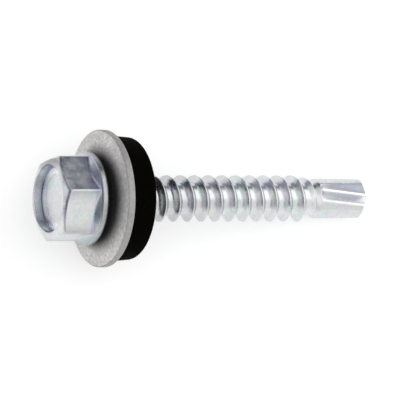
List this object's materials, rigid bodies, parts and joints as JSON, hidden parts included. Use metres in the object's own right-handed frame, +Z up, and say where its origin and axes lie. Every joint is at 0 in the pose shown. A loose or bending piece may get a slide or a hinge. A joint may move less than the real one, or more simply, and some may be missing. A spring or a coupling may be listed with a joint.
{
  "type": "self drilling screw",
  "caption": "Hex washer head self drilling screw with a coarse right-hand thread, fluted drill point and a bonded steel and rubber sealing washer.",
  "frame": {"origin": "centre of the bounding box's underside, on the floor that the screw lies on", "axes": "+Z up; the screw lies on the washer's rim and on both edges of one flute of its drill point, with the point towards +X, the point end 10.2 degrees down; +Y completes a right-handed frame"},
  "size_m": [0.037, 0.014, 0.0139],
  "materials": {
    "zinc": "bright zinc plating, blue-white passivated",
    "galvanised_steel": "matt galvanised",
    "rubber": "matt black EPDM rubber"
  },
  "bodies": {
    "screw": {"screw": "zinc"},
    "sealing_washer": {"steel_disc": "galvanised_steel", "rubber_seal": "rubber"}
  },
  "joints": [
    {"name": "washer_spin", "type": "hinge", "parent": "screw", "child": "sealing_washer", "pos_m": [-0.01095, 0, 0.00677], "axis": [0.9841, 0, -0.1775], "continuous": true}
  ]
}
